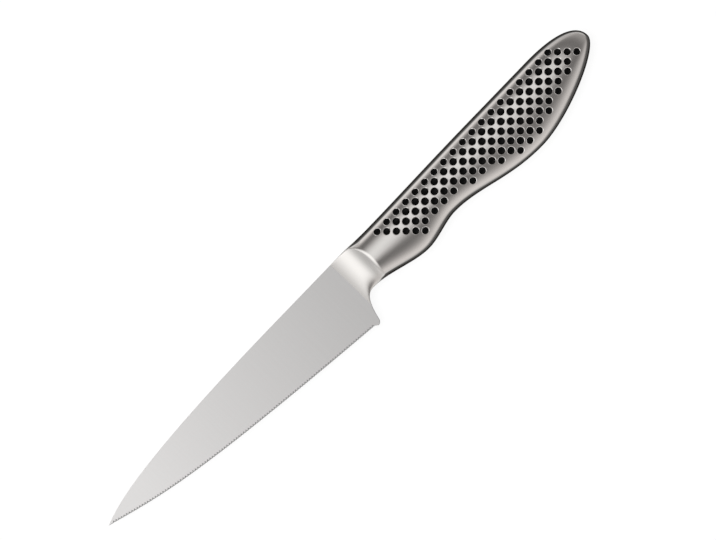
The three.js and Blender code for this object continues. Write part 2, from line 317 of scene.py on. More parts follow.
class KnifeLines:
    """Outlines of the knife, drawn from its sizes"""

    def __init__(self, scene):
        blade, neck, handle = scene.knife_blade, scene.knife_neck, scene.knife_handle
        heel = -blade.heel_setback
        self.neck_front = heel + neck.heel_to_neck
        self.shoulder = neck.crease + neck.shoulder
        self.shell_front = self.shoulder + handle.neck_weld
        self.blade_back = self.neck_front - blade.weld
        self.crown = -handle.butt_depth
        self.nose = handle.length
        self.power = handle.power
        choil_foot = at(heel + blade.heel_radius / 2, -blade.depth + blade.heel_radius)
        waist = at(-neck.waist, -neck.depth)
        guard = at(handle.guard_place, -handle.guard_depth)
        notch = at(handle.notch_place, -handle.notch_depth)
        belly = at(handle.belly_place, -handle.belly_depth)
        nose = at(self.nose, self.crown)
        spine_end = at(self.nose - handle.butt_rounding, 0)
        flank_end = at(handle.flank_end, handle.thickness / 2)
        self.underside = Line(
            stretch(choil_foot, waist, "heel_to_waist"),
            stretch(waist, guard, "waist_to_guard"),
            stretch(guard, notch, "guard_to_notch"),
            stretch(notch, belly, "notch_to_belly"),
            stretch(belly, nose, "belly_to_butt"),
        )
        dip_start = at(-handle.dip_start, 0)
        dip = at(handle.dip_place, -handle.dip_depth)
        dip_end = at(handle.dip_end, 0)
        self.spine = Line(
            (at(choil_foot.x, 0), dip_start),
            stretch(dip_start, dip, "spine_to_dip"),
            stretch(dip, dip_end, "dip_to_spine"),
            (dip_end, spine_end),
            stretch(spine_end, nose, "spine_to_butt"),
        )
        self.side = Line(
            (at(choil_foot.x, flank_end.y), flank_end),
            stretch(flank_end, at(self.nose, 0), "flank_to_butt"),
        )
        tip = at(heel - blade.length, -blade.tip_drop)
        spine_front = at(-blade.straight, 0)
        edge_end = at(heel - blade.heel_radius, -blade.depth)
        teeth_start = at(edge_end.x - blade.plain_heel, -blade.depth + blade.heel_lip)
        corner = at(heel, -blade.depth)
        self.blade_spine = stretch(spine_front, tip, "spine_to_tip")
        self.edge = stretch(teeth_start, tip, "edge_to_tip")
        # Guides two thirds of the way to the corner draw a parabola round it.
        first, second = (end.lerp(corner, 2 / 3) for end in (edge_end, choil_foot))
        self.heel = interpolate_bezier(edge_end, first, second, choil_foot, HEEL_POINTS)
        self.fall = (blade.spine - blade.heel_edge) / 2 / blade.depth
        self.half_spine = blade.spine / 2
        self.taper = min(
            (self.half_spine + self.fall * point.y - blade.least_edge / 2) / (self.neck_front - point.x)
            for point in self.edge
        )
        self.hollow_run = neck.crease - self.neck_front
        hollow_rise = flank_end.y - self.half_spine
        self.wheel = (self.hollow_run**2 + hollow_rise**2) / (2 * hollow_rise)
        self.neck = neck

    def rounded(self, value):
        return abs(value) ** (2 / self.power) * (1 if value > 0 else -1)

    def reach(self, x, above):
        """Distance from the crown up to the spine, or down to the underside"""
        return self.spine.height(x) - self.crown if above else self.crown - self.underside.height(x)

    def flank(self, x, turn):
        """Point of the handle's surface: a turn of 0 is on the spine and a quarter is on the left crown"""
        rise = self.rounded(cos(turn))
        y = self.crown + rise * self.reach(x, rise > 0)
        return Vector((x, y, self.rounded(sin(turn)) * self.side.height(x)))

    def flank_height(self, x, y):
        out = min(abs(y - self.crown) / self.reach(x, y > self.crown), 1)
        return self.side.height(x) * (1 - out**self.power) ** (1 / self.power)

    def flank_square(self, x, y, side):
        """Direction square to the left flank, where side is 1, or to the right one, where it is -1"""
        before, after = (self.flank_height(x + step, y) for step in (-NUDGE, NUDGE))
        below, above = (self.flank_height(x, y + step) for step in (-NUDGE, NUDGE))
        return Vector(((before - after) / (2 * NUDGE), (below - above) / (2 * NUDGE), side))

    def blade_height(self, x, y):
        return self.half_spine + self.taper * (x - self.neck_front) + self.fall * y

    def ground(self, point):
        """Half thickness at a point of the body once the wheel has been over it"""
        gone = point.x - self.neck_front
        left = max(1 - gone / self.hollow_run, 0)
        thick = self.half_spine + self.fall * point.y * left + self.wheel - sqrt(self.wheel**2 - gone**2)
        full = self.side.height(point.x)
        above = point.y > self.crown
        out = min(abs(point.y - self.crown) / self.reach(point.x, above), 1)
        if above:
            ahead = min(max((self.shell_front - point.x) / self.neck.square_run, 0), 1)
            square = self.power + (self.neck.square - self.power) * ahead**2 * (3 - 2 * ahead)
            body = full * (1 - out**square) ** (1 / square)
            power = HOLLOW_ABOVE + HOLLOW_ABOVE_GAIN * left
        else:
            body = abs(point.z)
            power = HOLLOW_BELOW + HOLLOW_BELOW_GAIN * left**HOLLOW_BELOW_DELAY
        hollow = thick * (1 - out**power) ** (1 / power)
        return least(body, hollow, self.neck.crease_blend * (body / full) ** 2 * gone / self.hollow_run)


# Meshes

def place_in_frame(lines):
    """Moves drawn points to the frame: neck's front, spine and middle plane come from the solids."""
    blade_low, blade_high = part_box("blade")
    neck_low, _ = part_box("neck_bolster")
    return Matrix.Translation(
        (neck_low.x - lines.neck_front, blade_high.y, (blade_low.z + blade_high.z) / 2)
    )


def new_piece(bm, name, materials, matrix, sharp=30):
    bmesh.ops.transform(bm, matrix=matrix, verts=bm.verts)
    mesh = bpy.data.meshes.new(name)
    bm.to_mesh(mesh)
    bm.free()
    for material in materials:
        mesh.materials.append(material)
    piece = bpy.data.objects.new(name, mesh)
    bpy.context.scene.collection.objects.link(piece)
    shade(piece, sharp)
    return piece


def shade(piece, sharp):
    """Smooth, with sharp edges over an angle in degrees. Faces as wide as the blade's sides stay flat."""
    piece.data.shade_smooth()
    piece.data.set_sharp_from_angle(angle=radians(sharp))
    for face in piece.data.polygons:
        face.use_smooth = face.area < WIDE_FACE


def belongs(piece, slot, *nodes):
    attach(piece, BODY)
    if nodes:
        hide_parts(*nodes)


def cut(piece, cutter):
    """Takes the cutter's shape out of the piece, and the cutter out of the scene."""
    modifier = piece.modifiers.new("cut", "BOOLEAN")
    modifier.operation = "DIFFERENCE"
    modifier.solver = "EXACT"
    modifier.object = cutter
    done = bpy.data.meshes.new_from_object(piece.evaluated_get(bpy.context.evaluated_depsgraph_get()))
    piece.modifiers.remove(modifier)
    old, piece.data = piece.data, done
    done.name = piece.name
    bpy.data.meshes.remove(old)
    bpy.data.meshes.remove(cutter.data)


def body_sheet(lines, front, back, fineness, gather=True):
    """Outer surface of the handle's body: a grid drawn onto the sections, whose rows gather at the back"""
    bm = bmesh.new()
    stations, sides = fineness
    bmesh.ops.create_grid(bm, x_segments=stations, y_segments=sides, size=0.5)
    for vert in bm.verts:
        along = vert.co.x + 0.5
        along = sin(along * pi / 2) if gather else along
        vert.co = lines.flank(front + (back - front) * along, (vert.co.y + 0.5) * tau)
    bmesh.ops.remove_doubles(bm, verts=bm.verts, dist=MERGE)
    bmesh.ops.recalc_face_normals(bm, faces=bm.faces)
    return bm


def keep_above(bm, point, normal):
    """Keeps what lies on the normal's side of a plane."""
    everything = bm.verts[:] + bm.edges[:] + bm.faces[:]
    bmesh.ops.bisect_plane(bm, geom=everything, plane_co=point, plane_no=normal, clear_inner=True)


def thicken(bm, wall):
    """Gives an open sheet its wall, inwards."""
    bmesh.ops.solidify(bm, geom=bm.faces[:], thickness=wall)


def lathe(profile, steps):
    """A profile of (radius, height) points, spun about the z axis"""
    bm = bmesh.new()
    verts = [bm.verts.new((radius, 0, height)) for radius, height in profile]
    edges = [bm.edges.new(pair) for pair in zip(verts, verts[1:])]
    bmesh.ops.spin(
        bm, geom=verts + edges, cent=(0, 0, 0), axis=(0, 0, 1), angle=tau, steps=steps, use_merge=True
    )
    bmesh.ops.remove_doubles(bm, verts=bm.verts, dist=MERGE)
    bmesh.ops.recalc_face_normals(bm, faces=bm.faces)
    mesh = bpy.data.meshes.new("lathe")
    bm.to_mesh(mesh)
    bm.free()
    return mesh


def second_finish(mesh):
    """Gives a cutter's faces the second of two finishes, which they leave on what they cut."""
    mesh.materials.append(None)
    mesh.materials.append(None)
    for face in mesh.polygons:
        face.material_index = 1
    return mesh


def repeated(mesh, matrices):
    """One bmesh with a copy of the mesh at each matrix"""
    bm = bmesh.new()
    for matrix in matrices:
        before = len(bm.verts)
        bm.from_mesh(mesh)
        bm.verts.ensure_lookup_table()
        bmesh.ops.transform(bm, matrix=matrix, verts=bm.verts[before:])
    bpy.data.meshes.remove(mesh)
    return bm


def dimple_seats(scene, lines, side):
    """Matrices that stand on the flank at each dimple, with z square to the surface"""
    sizes = scene.knife_dimples
    step = sizes.pitch / sqrt(2)
    seats = []
    last = len(sizes.per_row) - 1
    for row, count in enumerate(sizes.per_row):
        for i in range(count):
            size = sizes.outer if row in (0, last) or i in (0, count - 1) else 1
            forward = step * (2 * row - i)
            x = lines.nose - sizes.butt_margin - forward
            y = -sizes.spine_margin - sizes.spine_drift * forward - step * i
            turn = lines.flank_square(x, y, side).to_track_quat("Z", "Y").to_matrix().to_4x4()
            spot = Matrix.Translation((x, y, side * lines.flank_height(x, y)))
            seats.append(spot @ turn @ Matrix.Scale(size, 4))
    return seats


# Finishes

def feed(tree, node, **inputs):
    """Gives inputs of a node, by name or as _0, _1 and so on, a value or a socket to link."""
    for name, value in inputs.items():
        socket = node.inputs[int(name[1:]) if name[0] == "_" else name.replace("_", " ")]
        if isinstance(value, bpy.types.NodeSocket):
            tree.links.new(value, socket)
        else:
            socket.default_value = value


def add(tree, kind, settings=None, **inputs):
    """A node with its settings and inputs"""
    node = tree.nodes.new(kind)
    for name, value in (settings or {}).items():
        setattr(node, name, value)
    feed(tree, node, **inputs)
    return node


def math(tree, operation, *values):
    inputs = {f"_{i}": value for i, value in enumerate(values)}
    return add(tree, "ShaderNodeMath", {"operation": operation}, **inputs).outputs[0]


def product(tree, first, *others):
    for other in others:
        first = math(tree, "MULTIPLY", first, other)
    return first


def varied(tree, value, low, high):
    """A value between 0 and 1 drawn out between two others"""
    return math(tree, "MULTIPLY_ADD", value, high - low, low)


def smooth_step(tree, value, low, high):
    settings = {"interpolation_type": "SMOOTHSTEP"}
    return add(tree, "ShaderNodeMapRange", settings, Value=value, From_Min=low, From_Max=high).outputs[0]


def new_group(name, vectors, values, outputs):
    """A node group that takes vectors and values and puts out values"""
    group = bpy.data.node_groups.new(name, "ShaderNodeTree")
    kinds = ((vectors, "INPUT", "Vector"), (values, "INPUT", "Float"), (outputs, "OUTPUT", "Float"))
    for sockets, way, kind in kinds:
        for socket in sockets:
            group.interface.new_socket(socket, in_out=way, socket_type=f"NodeSocket{kind}")
    return group, group.nodes.new("NodeGroupInput").outputs, group.nodes.new("NodeGroupOutput")


def brushed_grain():
    """Fine marks that run along y: a tint about 1, a roughness and a height"""
    name = "brushed_grain"
    if name in bpy.data.node_groups:
        return bpy.data.node_groups[name]
    group, given, end = new_group(
        name,
        vectors=("Place",),
        values=("Marks per metre", "Length of marks", "Contrast", "Least roughness", "Roughness range"),
        outputs=("Tint", "Roughness", "Height"),
    )
    across = given["Marks per metre"]
    along = math(group, "DIVIDE", across, given["Length of marks"])
    scale = add(group, "ShaderNodeCombineXYZ", X=across, Y=along, Z=along).outputs[0]
    fine = add(group, "ShaderNodeVectorMath", {"operation": "MULTIPLY"}, _0=given["Place"], _1=scale)
    broad = add(group, "ShaderNodeVectorMath", {"operation": "SCALE"}, _0=fine.outputs[0], Scale=BROAD_SCALE)
    marks = add(group, "ShaderNodeTexNoise", Vector=fine.outputs[0], Scale=1.0, Detail=3.0, Roughness=0.6)
    bands = add(group, "ShaderNodeTexNoise", Vector=broad.outputs[0], Scale=1.0, Detail=2.0, Roughness=0.5)
    share_of_marks = math(group, "MULTIPLY", marks.outputs[0], FINE_SHARE)
    both = math(group, "MULTIPLY_ADD", bands.outputs[0], 1 - FINE_SHARE, share_of_marks)
    swing = math(group, "SUBTRACT", both, 0.5)
    tint = math(group, "MULTIPLY_ADD", swing, given["Contrast"], 1.0)
    rough = math(group, "MULTIPLY_ADD", both, given["Roughness range"], given["Least roughness"])
    feed(group, end, Tint=tint, Roughness=rough, Height=marks.outputs[0])
    return group


def seam_band():
    """Mask of the painted shade along the seam, a dark band for the edges' dark reflection: 1 where the
    surface leans over by the middle plane, and 0 ahead of the band's front. Facing the tip doesn't count as
    leaning over."""
    name = "seam_band"
    if name in bpy.data.node_groups:
        return bpy.data.node_groups[name]
    group, given, end = new_group(
        name, vectors=("Place", "Lean"), values=("Middle", "Half width", "Front"), outputs=("Mask",)
    )
    xyz = add(group, "ShaderNodeSeparateXYZ", Vector=given["Place"]).outputs
    normal = add(group, "ShaderNodeSeparateXYZ", Vector=given["Lean"]).outputs
    ahead = math(group, "MINIMUM", normal["X"], 0.0)
    rest = math(group, "SQRT", math(group, "SUBTRACT", 1.0, math(group, "MULTIPLY", ahead, ahead)))
    flat = math(group, "DIVIDE", math(group, "ABSOLUTE", normal["Z"]), rest)
    below = smooth_step(group, normal["Y"], *BAND_UNDERSIDE)
    wider = math(group, "MULTIPLY_ADD", normal["X"], BAND_WIDER_BY_BUTT, BAND_WIDER)
    up = math(group, "SUBTRACT", flat, math(group, "MULTIPLY", below, wider))
    leaning = smooth_step(group, up, *(cos(radians(lean)) for lean in BAND_IN))
    upright = smooth_step(group, flat, *(cos(radians(lean)) for lean in BAND_OUT))
    off = math(group, "ABSOLUTE", math(group, "SUBTRACT", xyz["Z"], given["Middle"]))
    near = smooth_step(group, math(group, "DIVIDE", off, given["Half width"]), *BAND_EDGE)
    behind = math(group, "SUBTRACT", xyz["X"], given["Front"])
    back = smooth_step(group, behind, -BAND_FRONT_BLUR, BAND_FRONT_BLUR)
    feed(group, end, Mask=product(group, leaning, upright, near, back))
    return group


def new_material(name):
    material = bpy.data.materials.new(name)
    material.use_nodes = True
    tree = material.node_tree
    tree.nodes.clear()
    shader = tree.nodes.new("ShaderNodeBsdfPrincipled")
    add(tree, "ShaderNodeOutputMaterial", Surface=shader.outputs[0])
    place = tree.nodes.new("ShaderNodeTexCoord").outputs["Object"]
    return material, tree, shader, place


def tinted(tree, colour, tint):
    """A colour times a value that changes over the surface"""
    grey = add(tree, "ShaderNodeCombineColor", Red=tint, Green=tint, Blue=tint).outputs[0]
    return mixed(tree, 1.0, colour, grey, "MULTIPLY")


def mixed(tree, amount, one, other, blend="MIX"):
    """Two colours mixed"""
    settings = {"data_type": "RGBA", "blend_type": blend}
    return add(tree, "ShaderNodeMix", settings, _0=amount, _6=one, _7=other).outputs[2]


def steel(name, colour, turn=0.0, band=None, fade=None, grazing=1.0, **grain):
    """Brushed steel. The marks run across the knife, or are turned. Band paints shade: a dark band along the
    seam for the dark reflection at the edges. Fade is a tint that changes along the knife: painted light on
    the blade, brighter toward the tip, and on the neck a little darker toward the front. Grazing is what is
    left of the shine at grazing angles."""
    if name in bpy.data.materials:
        return bpy.data.materials[name]
    material, tree, shader, place = new_material(name)
    turned = add(tree, "ShaderNodeMapping", Vector=place, Rotation=(0, 0, turn)).outputs[0]
    inputs = {key.capitalize(): value for key, value in grain.items()}
    marks = add(tree, "ShaderNodeGroup", {"node_tree": brushed_grain()}, Place=turned, **inputs)
    tint = marks.outputs["Tint"]
    if fade:
        x = add(tree, "ShaderNodeSeparateXYZ", Vector=place).outputs["X"]
        inputs = {"From_Min": fade.start, "From_Max": fade.end, "To_Min": fade.first, "To_Max": fade.last}
        along = add(tree, "ShaderNodeMapRange", Value=x, **inputs).outputs[0]
        tint = math(tree, "MULTIPLY", tint, along)
    # Painted shade: the seam's near-black colour is mixed in where the mask is whole
    if band:
        lean = tree.nodes["Texture Coordinate"].outputs["Normal"]
        inputs = {"Middle": band.middle, "Half_width": band.half_width, "Front": band.front}
        mask = add(tree, "ShaderNodeGroup", {"node_tree": seam_band()}, Place=place, Lean=lean, **inputs)
        colour = mixed(tree, mask.outputs[0], colour, band.colour)
    height = marks.outputs["Height"]
    bumped = add(tree, "ShaderNodeBump", Height=height, Strength=BUMP, Distance=BUMP_HEIGHT).outputs[0]
    feed(tree, shader, Base_Color=tinted(tree, colour, tint), Roughness=marks.outputs["Roughness"])
    feed(tree, shader, Normal=bumped, Metallic=1.0, Specular_Tint=(grazing, grazing, grazing, 1))
    return material


def blade_finish(scene):
    # Painted light: the blade's colour grows brighter toward the tip and darker toward the heel
    fade = Fade(start=-95 * MM, end=-4 * MM, first=1.2, last=0.88)
    return steel(
        "blade_satin", scene.knife_finishes.blade, fade=fade, marks_per_metre=2600.0, length_of_marks=45.0,
        contrast=0.10, least_roughness=0.28, roughness_range=0.10,
    )


def seam_shade_values(scene, lines):
    # Painted shade along the seam: its near-black colour, the middle plane, its spread and its front
    offset = place_in_frame(lines).translation
    finishes = scene.knife_finishes
    return PaintedSeamShade(finishes.seam, offset.z, finishes.seam_band, offset.x - BAND_FRONT)


def neck_finish(scene, lines):
    fade = Fade(start=-0.35 * MM, end=4.2 * MM, first=0.93, last=1.0)
    return steel(
        "neck_polish", scene.knife_finishes.neck, band=seam_shade_values(scene, lines), fade=fade, grazing=0.15,
        marks_per_metre=2400.0, length_of_marks=40.0, contrast=0.07,
        least_roughness=0.21, roughness_range=0.08,
    )


def handle_finish(scene, lines):
    return steel(
        "handle_satin", scene.knife_finishes.handle, turn=pi / 2, band=seam_shade_values(scene, lines), grazing=0.0,
        marks_per_metre=2400.0, length_of_marks=25.0, contrast=0.07,
        least_roughness=0.16, roughness_range=0.08,
    )


# Lighter than the handle's steel: partly a painted highlight round the rims, beside the light their bevel
# catches
def rim_finish(scene):
    return steel(
        "rim_burnish", scene.knife_finishes.rims, turn=pi / 2, marks_per_metre=5000.0, length_of_marks=8.0,
        contrast=0.08, least_roughness=0.18, roughness_range=0.1,
    )


# Darker than the blade: rougher grind, and partly painted shade, a dark line along the edge, heel and choil
def teeth_grind_and_shade(scene):
    return steel(
        "tooth_grind", scene.knife_finishes.teeth, marks_per_metre=6000.0, length_of_marks=6.0,
        contrast=0.3, least_roughness=0.42, roughness_range=0.2,
    )


def enamel_finish(scene):
    name = "dimple_enamel"
    if name in bpy.data.materials:
        return bpy.data.materials[name]
    material, tree, shader, place = new_material(name)
    specks = add(tree, "ShaderNodeTexNoise", Vector=place, Scale=2500.0, Detail=2.0).outputs[0]
    black = tinted(tree, scene.knife_finishes.enamel, varied(tree, specks, 0.4, 1.6))
    rough = varied(tree, specks, 0.15, 0.3)
    feed(tree, shader, Base_Color=black, Roughness=rough, Specular_IOR_Level=0.05)
    return material


def sand_finish(scene):
    material, tree, shader, place = new_material("loose_sand")
    grains = add(tree, "ShaderNodeTexVoronoi", Vector=place, Scale=2500.0).outputs["Distance"]
    mottled = tinted(tree, scene.knife_finishes.sand, varied(tree, grains, 0.6, 1.3))
    bumped = add(tree, "ShaderNodeBump", Height=grains, Strength=0.6, Distance=0.2 * MM).outputs[0]
    feed(tree, shader, Base_Color=mottled, Normal=bumped, Roughness=0.95)
    return material


# Pieces

class KNIFE_OT_blade(bpy.types.Operator):
    """Ground blade with its teeth"""

    bl_idname = "object.knife_blade"
    bl_label = "Blade"

    def execute(self, context):
        scene = context.scene
        lines = KnifeLines(scene)
        sizes = scene.knife_blade
        back = lines.blade_back
        choil = [point for point in lines.underside.points if point.x < back]
        foot = at(back, lines.underside.height(back))
        spine = [at(back, 0), *lines.blade_spine]
        bm = plate(lines, [*spine, *reversed(lines.edge[:-1]), *lines.heel[:-1], *choil, foot])
        grind_facet(bm, lines, sizes)
        ease(bm, spine, sizes.ease)
        # The heel's eased corners take the darker finish: partly painted shade, a dark line along heel and
        # choil
        ease(bm, [*lines.heel, *choil, foot], sizes.heel_ease, finish=1)
        materials = (blade_finish(scene), teeth_grind_and_shade(scene))
        piece = new_piece(bm, "blade_ground", materials, Matrix())
        grind_teeth(scene, lines, piece)
        piece.data.transform(place_in_frame(lines))
        shade(piece, 20)
        belongs(piece, "blade_steel", "blade")
        return {"FINISHED"}


def into_blade(a, b):
    """Direction into the blade, square to a stretch of its edge"""
    along = (b - a).normalized()
    return at(along.y, -along.x)


def grind_facet(bm, lines, sizes):
    """Takes the left corner off along the cutting edge, less and less over the plain tip, with the second,
    darker of two finishes, partly painted shade along the edge."""
    tip = lines.blade_spine[-1]
    inward = {tuple(tip): at(0, 0)}
    for a, b in zip(lines.edge, lines.edge[1:]):
        width = sizes.facet * min((tip - a).length / sizes.plain_tip, 1)
        inward[tuple(a)] = into_blade(a, b) * width
    edge = [vert for vert in bm.verts if tuple(vert.co.xy) in inward]
    for face in bm.faces:
        if all(vert in edge for vert in face.verts):
            face.material_index = 1
    for vert in edge:
        if vert.co.z > 0:
            vert.co.xy += inward[tuple(vert.co.xy)]
            vert.co.z = lines.blade_height(vert.co.x, vert.co.y)


def ease(bm, line, width, finish=0):
    """Eases both sides' corners along a line of the outline, with the first or second of two finishes. The
    second is darker, partly painted shade along the line.
    """
    places = {tuple(point) for point in line}
    corners = [
        edge for edge in bm.edges
        if all(tuple(vert.co.xy) in places for vert in edge.verts)
        and edge.verts[0].co.z * edge.verts[1].co.z > 0
    ]
    eased = bmesh.ops.bevel(
        bm, geom=corners, offset=width, segments=3, profile=0.5, affect="EDGES", material=-1
    )
    for face in eased["faces"]:
        face.material_index = finish


def plate(lines, outline):
    """An outline drawn on the middle plane, given its wedge on both sides"""
    bm = bmesh.new()
    face = bm.faces.new([bm.verts.new((*point, 0)) for point in outline])
    made = bmesh.ops.extrude_face_region(bm, geom=[face])["geom"]
    raised = {element for element in made if isinstance(element, bmesh.types.BMVert)}
    for vert in bm.verts:
        vert.co.z = lines.blade_height(vert.co.x, vert.co.y) * (1 if vert in raised else -1)
    bmesh.ops.recalc_face_normals(bm, faces=bm.faces)
    return bm


def grind_teeth(scene, lines, piece):
    """Cuts each tooth with a round stone that leans up the left side."""
    sizes = scene.knife_blade
    radius = sizes.tooth_radius
    ends = ((0, -STONE_REACH), (radius, -STONE_REACH), (radius, STONE_REACH), (0, STONE_REACH))
    stone = second_finish(lathe(ends, STONE_SIDES))
    lengths = [0.0]
    for a, b in zip(lines.edge, lines.edge[1:]):
        lengths.append(lengths[-1] + (b - a).length)
    teeth = int((lengths[-1] - sizes.plain_tip) / sizes.tooth_pitch)
    places = []
    for tooth in range(teeth):
        gone = (tooth + 0.5) * sizes.tooth_pitch
        i = bisect_right(lengths, gone)
        a, b = lines.edge[i - 1], lines.edge[i]
        spot = a.lerp(b, (gone - lengths[i - 1]) / (lengths[i] - lengths[i - 1]))
        inward = into_blade(a, b).to_3d()
        half = lines.blade_height(*spot)
        lean = (inward * (sizes.tooth_reach - sizes.tooth_depth) + Vector((0, 0, 2 * half))).normalized()
        low = Vector((*spot, -half)) + inward * (sizes.tooth_depth - radius / lean.z)
        places.append(Matrix.Translation(low) @ lean.to_track_quat("Z", "Y").to_matrix().to_4x4())
    cut(piece, new_piece(repeated(stone, places), "stones", (None, None), Matrix()))


class KNIFE_OT_neck(bpy.types.Operator):
    """Neck with a hollow ground into each flank and a spigot behind it"""

    bl_idname = "object.knife_neck"
    bl_label = "Neck"

    def execute(self, context):
        scene = context.scene
        lines = KnifeLines(scene)
        sizes = scene.knife_neck
        bm = body_sheet(lines, lines.neck_front, lines.shoulder, NECK_GRID)
        grind_hollows(bm, lines)
        ends = [edge for edge in bm.edges if edge.is_boundary]
        caps = bmesh.ops.holes_fill(bm, edges=ends, sides=0)["faces"]
        rear = max(caps, key=lambda face: face.calc_center_median().x)
        spigot(bm, spigot(bm, rear, SPIGOT_SHARE, 0), 1, sizes.spigot)
        bmesh.ops.recalc_face_normals(bm, faces=bm.faces)
        materials = (neck_finish(scene, lines),)
        piece = new_piece(bm, "neck_hollow_ground", materials, place_in_frame(lines), sharp=60)
        belongs(piece, "neck_steel", "neck_bolster")
        return {"FINISHED"}


def grind_hollows(bm, lines):
    """Grinds the hollow into both flanks."""
    for vert in bm.verts:
        vert.co.z = lines.ground(vert.co) * (1 if vert.co.z > 0 else -1)


def spigot(bm, face, scale, length):
    """Draws a face in about its middle and back by a length, and gives its new end."""
    middle = face.calc_center_median()
    made = bmesh.ops.extrude_face_region(bm, geom=[face])["geom"]
    verts = [element for element in made if isinstance(element, bmesh.types.BMVert)]
    bmesh.ops.scale(bm, vec=(1, scale, scale), space=Matrix.Translation(-middle), verts=verts)
    bmesh.ops.translate(bm, vec=(length, 0, 0), verts=verts)
    bm.faces.remove(face)
    return next(element for element in made if isinstance(element, bmesh.types.BMFace))


class KNIFE_OT_shells(bpy.types.Operator):
    """Left and right handle shells with their dimples"""

    bl_idname = "object.knife_shells"
    bl_label = "Handle shells"

    def execute(self, context):
        scene = context.scene
        lines = KnifeLines(scene)
        sizes, dimples = scene.knife_handle, scene.knife_dimples
        finish = handle_finish(scene, lines)
        radius, rim = dimples.diameter / 2, dimples.rim
        shoulder, shoulder_depth = DISH_SHOULDER
        profile = (
            (0, -dimples.depth - ENAMEL_ROOM),
            (radius * shoulder, -shoulder_depth),
            (radius, -RIM_DEPTH),
            (radius + rim, 0),
            (radius + rim * 3, RIM_DEPTH * 2),
            (0, RIM_DEPTH * 2),
        )
        for side, name in SIDES:
            bm = body_sheet(lines, lines.shell_front, lines.nose, HANDLE_GRID)
            keep_above(bm, (0, 0, side * sizes.seam / 2), (0, 0, side))
            thicken(bm, sizes.wall)
            piece = new_piece(bm, f"shell_{name}_dimpled", (finish, rim_finish(scene)), Matrix())
            punch = second_finish(lathe(profile, DIMPLE_SIDES))
            punches = repeated(punch, dimple_seats(scene, lines, side))
            cut(piece, new_piece(punches, "punches", (None, None), Matrix()))
            piece.data.transform(place_in_frame(lines))
            shade(piece, 20)
            belongs(piece, "handle_steel", f"handle_shell_{name}")
        return {"FINISHED"}


class KNIFE_OT_welds(bpy.types.Operator):
    """Welds behind the blade, behind the neck and along the shells, all dressed flush"""

    bl_idname = "object.knife_welds"
    bl_label = "Welds"

    def execute(self, context):
        scene = context.scene
        lines = KnifeLines(scene)
        sizes = scene.knife_handle
        matrix = place_in_frame(lines)
        front, back = lines.blade_back, lines.neck_front
        choil = [point for point in lines.underside.points if front < point.x < back]
        feet = [at(x, lines.underside.height(x)) for x in (front, back)]
        outline = [at(back, 0), at(front, 0), feet[0], *choil, feet[1]]
        bm = plate(lines, outline)
        ease(bm, outline[:2], scene.knife_blade.ease)
        # The choil's eased corners take the darker finish: partly painted shade, a dark line along the choil
        ease(bm, outline[2:], scene.knife_blade.heel_ease, finish=1)
        materials = (blade_finish(scene), teeth_grind_and_shade(scene))
        behind_blade = new_piece(bm, "blade_weld_flush", materials, matrix, sharp=20)
        belongs(behind_blade, "blade_steel", "blade_weld")
        bm = body_sheet(lines, lines.shoulder, lines.shell_front, NECK_WELD_GRID, gather=False)
        grind_hollows(bm, lines)
        thicken(bm, sizes.wall)
        finish = handle_finish(scene, lines)
        behind_neck = new_piece(bm, "neck_weld_flush", (finish,), matrix)
        belongs(behind_neck, "handle_steel", "neck_weld")
        bm = body_sheet(lines, lines.shell_front, lines.nose, HANDLE_GRID)
        keep_above(bm, (0, 0, -sizes.seam / 2), (0, 0, 1))
        keep_above(bm, (0, 0, sizes.seam / 2), (0, 0, -1))
        thicken(bm, sizes.wall)
        between_shells = new_piece(bm, "seam_weld_flush", (finish,), matrix)
        belongs(between_shells, "handle_steel", "handle_seam_weld")
        return {"FINISHED"}


class KNIFE_OT_enamel(bpy.types.Operator):
    """Black enamel that fills the bottom of each dimple"""

    bl_idname = "object.knife_enamel"
    bl_label = "Dimple enamel"

    def execute(self, context):
        scene = context.scene
        lines = KnifeLines(scene)
        sizes = scene.knife_dimples
        radius = sizes.diameter / 2
        profile = [(radius * out, -depth) for out, depth in ENAMEL_TOP + ENAMEL_BOTTOM]
        materials = (enamel_finish(scene),)
        for side, name in SIDES:
            bm = repeated(lathe(profile, DIMPLE_SIDES), dimple_seats(scene, lines, side))
            piece = new_piece(bm, f"dimple_enamel_{name}", materials, place_in_frame(lines), sharp=50)
            belongs(piece, "handle_steel")
        return {"FINISHED"}


class KNIFE_OT_sand(bpy.types.Operator):
    """Finish of the loose sand inside the handle"""

    bl_idname = "object.knife_sand"
    bl_label = "Sand fill"

    def execute(self, context):
        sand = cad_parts["sand_fill"]
        sand.data.materials.clear()
        sand.data.materials.append(sand_finish(context.scene))
        return {"FINISHED"}


class KNIFE_OT_stage(bpy.types.Operator):
    """Floor, light and camera"""

    bl_idname = "object.knife_stage"
    bl_label = "Stage"

    def execute(self, context):
        scene = context.scene
        lines = KnifeLines(scene)
        sizes = scene.knife_stage
        middle = place_in_frame(lines).translation.z
        rest = middle - scene.knife_handle.thickness / 2
        bm = bmesh.new()
        bmesh.ops.create_grid(bm, x_segments=1, y_segments=1, size=sizes.floor_size / 2)
        floor = new_piece(bm, "floor", (floor_finish(sizes),), Matrix.Translation((0, 0, rest)))
        light_studio(scene)
        hang_lamp(scene)
        camera = bpy.data.objects.new("camera", bpy.data.cameras.new("camera"))
        scene.collection.objects.link(camera)
        camera.data.lens = sizes.lens
        away = sizes.lens / camera.data.sensor_width * sizes.span
        camera.location = (*sizes.aim, middle + away)
        camera.rotation_euler = (0, 0, -sizes.turn)
        scene.camera = camera
        scene.view_settings.view_transform = "Standard"
        return {"FINISHED"}


